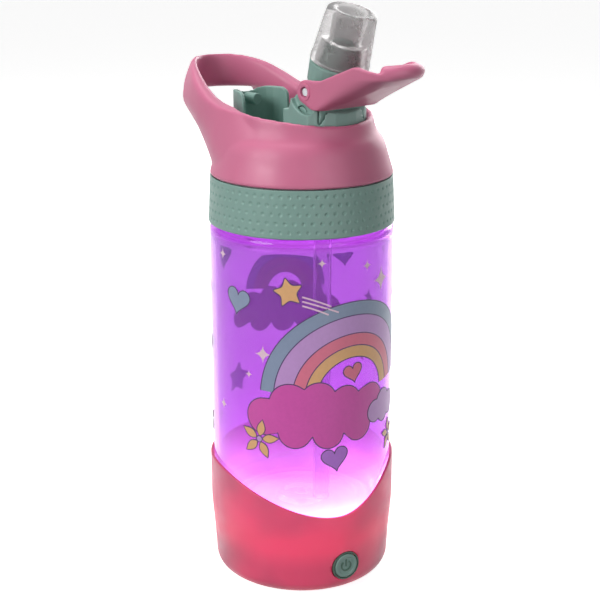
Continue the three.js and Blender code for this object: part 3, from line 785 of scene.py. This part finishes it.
def make_art():
    # front: a bow over a cloud, with hearts, flowers and stars about it
    rainbow(FRONT + 15, 84, [15, 19.6, 24.4, 31.6, 37], ["gold", "rose", "lilac", "blue_grey"], 4, 176)
    drawn("magenta", FRONT - 3, 77, cloud(CLOUD), 0.42, 1)
    small_cloud = cloud([(-6, 0, 4.6), (0, 2.6, 5), (6.5, 0, 4.8), (0, -2, 4)], 120)
    drawn("lilac", FRONT + 44, 74, small_cloud, 0.42, 2)
    drawn("rose", FRONT + 15, 93, heart(8.5, 10))
    drawn("blue_grey", -84, 120.8, heart(11.5, -8))
    drawn("violet", -21, 59, heart(11, 8))
    flower(-68.8, 66.4, 8.2, 80)
    flower(30, 60.5, 6.6, 20)
    drawn("gold", -50, 126, star(6.2, 0.5, 12))
    for k, reach in enumerate((11, 14, 10)):
        start = (5.2, -1.6 - 1.7 * k)
        path = [(start[0] + reach * t, start[1] - reach * 0.28 * t - 1.1 * t * t)
                for t in np.linspace(0, 1, 12)]
        line("pale", -50, 126, path, 0.6, False)
    for angle, height, reach in ((-66, 101, 3.6), (15, 127, 5.2), (1, 134, 2.2), (-76, 92, 1.6),
                                 (-100, 76, 2.4),
                                 (-30, 137, 1.8), (40, 118, 1.8), (-98, 137, 2.2)):
        fill("pale", angle, height, sparkle(reach))
    # back: a second cloud with its own hearts and stars
    drawn("magenta", 150, 100, cloud([(x * 0.8, y * 0.8, r * 0.8) for x, y, r in CLOUD]), 0.42, 1)
    rainbow(150, 107, [8, 11.5, 15, 19], ["gold", "rose", "lilac"], 8, 172)
    drawn("blue_grey", 205, 128, heart(12, 12))
    drawn("violet", 108, 124, heart(10, -10))
    drawn("rose", 228, 96, heart(9, -6))
    drawn("gold", 96, 84, star(6.4, 0.5, -8))
    drawn("lilac", 190, 72, star(7, 0.5, 10))
    flower(130, 68, 8, 10)
    flower(224, 62, 6.6, 40)
    for angle, height, reach in ((84, 108, 4.0), (70, 70, 3.2), (175, 136, 4.2), (238, 120, 3.0),
                                 (160, 62, 2.6),
                                 (62, 132, 2.6), (215, 82, 2.0)):
        fill("pale", angle, height, sparkle(reach))
    for ink, (vertices, faces) in art.items():
        made = mesh_object("print_" + ink, vertices, faces, INKS[ink], False)
        place(made, "bottle", "print_ink")


# ---------- lid ----------
def make_band():
    """The grip band: five staggered rows of small dents sunk into its outside."""
    sides, rows = 792, 60
    pitch = 12
    low, high = BAND_BOTTOM + 0.5, BAND_TOP - 0.3
    dents = [BAND_BOTTOM + 2.6 + 3.3 * k for k in range(5)]
    vertices = []
    for j in range(rows + 1):
        z = low + (high - low) * j / rows
        base = 36.35 + (35.5 - 36.35) * (z - low) / (high - low)
        for i in range(sides):
            a = 2 * math.pi * i / sides
            depth = 0
            for k, middle in enumerate(dents):
                shift = (i / pitch + 0.5 * (k % 2)) % 1
                along = min(shift, 1 - shift) * 2 * math.pi * base / sides * pitch
                near = math.hypot(along, z - middle) / 0.72
                if near < 1:
                    depth = 0.42 * (1 - near * near)
            r = base - depth
            vertices.append((r * math.cos(a), r * math.sin(a), z))
    edges = [(36.15, BAND_TOP - 0.12), (35.3, BAND_TOP), (34.3, BAND_TOP), (34.3, BAND_BOTTOM),
             (35.9, BAND_BOTTOM), (36.2, BAND_BOTTOM + 0.14)]
    edges[0] = (35.48, BAND_TOP - 0.12)
    for r, z in edges:
        for i in range(sides):
            a = 2 * math.pi * i / sides
            vertices.append((r * math.cos(a), r * math.sin(a), z))
    total = rows + 1 + len(edges)
    faces = []
    for j in range(total):
        for i in range(sides):
            k = (i + 1) % sides
            up = (j + 1) % total
            faces.append([j * sides + i, j * sides + k, up * sides + k, up * sides + i])
    place(mesh_object("grip_band_dented", vertices, faces, mint_plastic), "lid", "mint_plastic", "grip_band")


def softened(node, voxel, rounds, material):
    """Gives a CAD node's moulded shape its soft edges."""
    made = NODES[node]
    dress(node, material)
    weld = made.modifiers.new("weld", "WELD")
    weld.merge_threshold = 1e-6
    remesh = made.modifiers.new("remesh", "REMESH")
    remesh.mode = "VOXEL"
    remesh.voxel_size = voxel * MM
    remesh.use_smooth_shade = True
    smooth = made.modifiers.new("smooth", "SMOOTH")
    smooth.factor = 0.5
    smooth.iterations = rounds
    return made


def dress(node, material):
    made = NODES[node]
    made.data.materials.clear()
    made.data.materials.append(material)
    if "custom_normal" in made.data.attributes:
        made.data.attributes.remove(made.data.attributes["custom_normal"])
    return made


def eased(node, material, width=0.15):
    """A CAD node with its sharp edges slightly rounded."""
    made = dress(node, material)
    weld = made.modifiers.new("weld", "WELD")
    weld.merge_threshold = 1e-6
    bevel = made.modifiers.new("ease", "BEVEL")
    bevel.width = width * MM
    bevel.segments = 2
    bevel.limit_method = "ANGLE"
    bevel.angle_limit = math.radians(38)
    bevel.harden_normals = True
    made.data.polygons.foreach_set("use_smooth", [True] * len(made.data.polygons))
    return made


def flowing(points, parts):
    """A smooth line through points of any number of coordinates."""
    p = np.array(points, float)
    p = np.vstack([2 * p[0] - p[1], p, 2 * p[-1] - p[-2]])
    out = []
    for i in range(1, len(p) - 2):
        for k in range(parts):
            t = k / parts
            a, b, c, d = p[i - 1:i + 3]
            out.append(0.5 * (2 * b + (c - a) * t + (2 * a - 5 * b + 4 * c - d) * t * t
                              + (3 * b - a - 3 * c + d) * t ** 3))
    out.append(p[-2])
    return [tuple(float(c) for c in q) for q in out]


def solid_rings(name, rings):
    """A closed skin through a stack of rings with equal numbers of points."""
    count = len(rings[0])
    faces = [[j * count + i, j * count + (i + 1) % count, (j + 1) * count + (i + 1) % count,
              (j + 1) * count + i]
             for j in range(len(rings) - 1) for i in range(count)]
    faces += [list(range(count))[::-1], [(len(rings) - 1) * count + i for i in range(count)]]
    return mesh_object(name, [p for ring in rings for p in ring], faces, pink_plastic)


def upright(outline, low, high):
    return solid_rings("tool", [[(x, y, z) for x, y in outline] for z in (low, high)])


def across(outline, near, far):
    return solid_rings("tool", [[(x, y, z) for x, z in outline] for y in (near, far)])


def turned_tool(profile, sides=160):
    return mesh_object("tool", *lathe(profile, sides), pink_plastic)


def bar_y(x, z, radius, near, far):
    vertices, faces = lathe([(0, near), (radius, near), (radius, far), (0, far)], 64)
    return mesh_object("tool", [(px + x, pz, py + z) for px, py, pz in vertices], faces, pink_plastic)


def moulded_edges(made, voxel, rounds, extra_rounds=0, extra=None):
    """Turns sharp cut edges into soft moulded ones; extra(x, y, z) in mm says where they're softer."""
    remesh = made.modifiers.new("remesh", "REMESH")
    remesh.mode = "VOXEL"
    remesh.voxel_size = voxel * MM
    remesh.use_smooth_shade = True
    baked(made)
    mesh = made.data
    count = len(mesh.vertices)
    where = np.empty(count * 3)
    mesh.vertices.foreach_get("co", where)
    where = where.reshape(-1, 3)
    ends = np.empty(len(mesh.edges) * 2, int)
    mesh.edges.foreach_get("vertices", ends)
    a, b = ends[0::2], ends[1::2]
    degree = np.bincount(ends, minlength=count)[:, None]
    weight = np.zeros(count)
    if extra:
        x, y, z = (where / MM).T
        weight = extra(x, y, z)
    for i in range(rounds + extra_rounds):
        total = np.zeros_like(where)
        for k in range(3):
            total[:, k] = (np.bincount(a, where[b, k], count) + np.bincount(b, where[a, k], count))
        pull = 0.5 if i < rounds else 0.5 * weight[:, None]
        where = where + (total / degree - where) * pull
    mesh.vertices.foreach_set("co", where.ravel())
    mesh.update()
    return made


LOOP_BACK = 63
LOOP_CENTRE = -12.5
LOOP_HALF_WIDTH = 28.3
LOOP_THICK = 6.5
LOOP_LOW = 191.5
LOOP_HIGH = 206.4
MOUTH_R = 25.4
FINGER_X = -36.6


def loop_ring(centre, back, front, half, z, sides=120):
    ring = []
    for i in range(sides):
        a = 2 * math.pi * i / sides
        ring.append((centre + (back if math.cos(a) < 0 else front) * math.cos(a), half * math.sin(a), z))
    return ring


def bowl_outline():
    back = LOOP_BACK + LOOP_CENTRE - LOOP_THICK
    half = LOOP_HALF_WIDTH - LOOP_THICK
    rear = [(LOOP_CENTRE + back * c, half * s) for c, s in arc(0, 0, 1, 92, 268, 90)]
    return [*rear, *arc(0, 0, MOUTH_R, -118, 118, 90)]


def make_lid_shell():
    side = flowing([(35.6, 164.9), (34.5, 168.5), (33.3, 172.4), (32.1, 176.3), (30.7, 179), (29.4, 180.4),
                    (28.4, 182.4), (27.6, 185), (27.2, 188), (27, 191)], 5)
    shell = turned_tool([(0, 164.4), (35.2, 164.4), *side, (0, 191)])
    shell.name = "lid_shell_moulded"
    back = LOOP_BACK + LOOP_CENTRE
    rows = flowing([(0, 34.6, 34, 34, 165.2), (-0.5, 35.5, 33, 33.6, 168.4), (-6.25, 43.4, 36, 30.6, 180),
                    (LOOP_CENTRE, back, 36, LOOP_HALF_WIDTH, 188.6), (LOOP_CENTRE, back - 0.3, 36, 28, 193),
                    (LOOP_CENTRE, back - 2, 36, 27, 198.5), (LOOP_CENTRE, back - 4.2, 36, 25.6, 203),
                    (LOOP_CENTRE, back - 6.2, 36, 24, 208)], 6)
    combined(shell, [solid_rings("tool", [loop_ring(*row) for row in rows])], "UNION")
    rim = flowing([(40, 185.4), (28, 185.5), (15, 187.7), (0, 189.2), (-12, 190.3), (-21, 192.2),
                   (-30, 195.9),
                   (-37, 199.6), (-44, 203.1), (-53, 205.6), (-66, LOOP_HIGH)], 8)
    combined(shell, [across([*rim, (-66, 150), (40, 150)], -50, 50)], "INTERSECT")
    cavity = turned_tool([(0, 160), (33.3, 160), (33.3, 166.6), (32.2, 168.5), (31, 172.4), (29.8, 176),
                          (27.6, 178.6), (24.4, 180.6), (24.4, 182.8), (0, 182.8)])
    grow = 1.8
    trough = [*arc(-22.9, 0, 10.2 + grow, 100, 260, 40), (-14, -11.6 - grow), (6, -11.6 - grow),
              (6, 11.6 + grow),
              (-14, 11.6 + grow)]
    bowl = bowl_outline()
    fingers = [(x, y) for x, y in bowl if x < FINGER_X]
    half = abs(fingers[0][1]) - 0.2
    combined(shell, [
        upright(bowl, 182.6, 220), cavity, upright(trough, 175, 200),
        upright([*fingers, (FINGER_X, -half), (FINGER_X, half)], 160, 220),
        across([(FINGER_X, 160), (FINGER_X, LOOP_LOW), (-75, LOOP_LOW), (-75, 160)], -half, half)])
    moulded_edges(shell, 0.55, 8, 36, lambda x, y, z: (np.clip((-10 - x) / 14, 0, 1)
                                                       * np.clip((z - 183) / 6, 0, 1)))
    place(shell, "lid", "pink_plastic", "lid_shell")


def visor_ring(z, half, shift, height=None):
    rise = min(1.02, max(-0.2, (z + 6.3) / 12.8))
    nose = 9.5 + 28.5 * rise + shift
    corner = 5 + (z + 6.3) * 0.98
    front = [(corner + (nose - corner) * abs(c) ** 0.86, half * math.copysign(abs(s) ** 0.86, s))
             for c, s in arc(0, 0, 1, -90, 90, 48)]
    return [(x, y, z if height is None else height) for x, y in [(-8, -half), *front, (-8, half)]]


def make_cover():
    """Drawn about its own hinge axis, then moved there."""
    heights = [-7 + 0.8 * k for k in range(26)]
    shell = solid_rings("spout_cover_moulded", [visor_ring(z, ARM_OUT, 0) for z in heights])
    inner = solid_rings("tool", [visor_ring(z - 2.3, 13.4, -0.4, z) for z in [-12, -10, -8, *heights, 15]])
    combined(shell, [inner])
    nose = flowing([(3.4, -6.3), (8, -6.3), (30, 3.3), (41, 6), (41, 9.4), (34, 8.9), (29.6, 10), (26.3, 11),
                    (24.4, 10.8)], 1)
    side = [*arc(0, 0, 4.4, 95, 235, 30), *nose, (8, 4.7), (4, 4.4)]
    combined(shell, [across(side, -20, 20)], "INTERSECT")
    rings = []
    steps = 40
    for i in range(steps + 1):
        a = math.radians(-66 + 132 * i / steps)
        t = abs(2 * i / steps - 1)
        radius = 2.75 * math.sqrt(max(0.04, 1 - max(0, (t - 0.88) / 0.12) ** 2))
        middle = Vector((27.6 + 10.4 * math.cos(a), 9.2 * math.sin(a), 8.2 + 1.2 * math.cos(a)))
        along = Vector((-10.4 * math.sin(a), 9.2 * math.cos(a), -1.2 * math.sin(a))).normalized()
        side_way = along.cross(Vector((0, 0, 1))).normalized()
        up = side_way.cross(along)
        rings.append([tuple(middle + (side_way * math.cos(b) + up * math.sin(b)) * radius)
                      for b in (2 * math.pi * k / 24 for k in range(24))])
    combined(shell, [solid_rings("tool", rings)], "UNION")
    combined(shell, [bar_y(0, 0, 1.8, -20, 20)])
    shell.data.transform(Matrix.Translation(Vector((HINGE[0], 0, HINGE[1])) * MM))
    moulded_edges(shell, 0.36, 7)
    place(shell, "cover", "pink_plastic", "spout_cover")


def to_spout(vertices):
    return turned_to(vertices, SPOUT_LEAN, (PIVOT[0], 0, PIVOT[1]), "Y")


def make_mouthpiece():
    profile = rounded([
        (7.6, 18.9, 0.3), (11.2, 18.9, 0.4), (11.25, 20.4, 0.5), (10.9, 22.2, 0.6), (9.6, 36.6, 1.4),
        (9.2, 39.0, 1.5), (7.6, 39.4, 0.8), (5.4, 39.2, 1.2), (4.7, 27.4, 0.6), (6.8, 26.9, 0.4)])
    vertices, faces = lathe(dense(profile, 0.9), 112)
    place(mesh_object("mouthpiece_silicone", to_spout(vertices), faces, silicone), "spout", "clear_silicone",
          "mouthpiece")


def make_pin_rings():
    """The raised ring round each end of the cover's hinge pin."""
    for side, name in ((-1, "pin_ring_near"), (1, "pin_ring_far")):
        profile = rounded([(1.9, ARM_OUT - 0.2), (3.1, ARM_OUT - 0.2), (3.1, ARM_OUT + 0.35, 0.25),
                           (1.9, ARM_OUT + 0.35, 0.25)])
        vertices, faces = lathe(profile, 48)
        laid = [(x + HINGE[0], side * z, y + HINGE[1]) for x, y, z in vertices]
        place(mesh_object(name, laid, faces, pink_plastic), "cover", "pink_plastic")


def make_straw():
    profile = rounded([(2.7, 30.6, 0.3), (3.5, 30.6, 0.3), (3.5, 160.8, 0.3), (2.7, 160.8, 0.3)])
    vertices, faces = lathe(dense(profile, 10), 40)
    moved = [(x + 12, y, z) for x, y, z in vertices]
    place(mesh_object("straw_tube", moved, faces, straw_clear), "lid", "clear_silicone", "straw")


def make_floor():
    size = 9.0
    low = -0.0002
    mesh = bpy.data.meshes.new("floor")
    corners = [(-size, -size, low), (size, -size, low), (size, size, low), (-size, size, low)]
    mesh.from_pydata(corners, [], [[0, 1, 2, 3]])
    n = Nodes("floor_paper")
    n.set(Base_Color=n.mix(n.noise(3, 2), (0.9, 0.9, 0.9, 1), (0.94, 0.94, 0.94, 1)), Roughness=0.8,
          Emission_Color=(1, 1, 1, 1), Emission_Strength=0.85)
    mesh.materials.append(n.material)
    floor = bpy.data.objects.new("floor", mesh)
    floor.visible_diffuse = False
    bpy.context.scene.collection.objects.link(floor)


# ---------- build ----------
add_camera()
add_lights()
bpy.context.scene.view_settings.view_transform = "Standard"
make_floor()
make_cup()
make_button()
make_bottle()
make_art()
make_band()
make_mouthpiece()
make_pin_rings()
make_straw()
make_lid_shell()
make_cover()
softened("spout_cradle", 0.35, 3, mint_plastic)
softened("spout_core", 0.3, 5, mint_plastic)
for node in ("bottom_cover", "battery_door"):
    eased(node, cup_pink)
for node in ("screw_cap", "battery_tray", "reflector"):
    eased(node, white_plastic)
for node in ("lid_seal", "vent_valve", "straw_adapter"):
    eased(node, silicone)
eased("mouth_plug", mint_plastic, 0.5)
for node in NODES:
    if "screw_" in node or node.endswith("_screw") or node.startswith(("hinge_pin", "coin_cell", "contact")):
        if node != "screw_cap":
            eased(node, steel)
for node in ("press_switch", "control_chip"):
    eased(node, dark_plastic)
eased("button_bezel", bezel_plastic)
eased("led_board", board_green)
eased("light_lens", milky_lens)
for number in range(1, 5):
    eased(f"led_{number}", lamp)

bpy.context.view_layer.update()
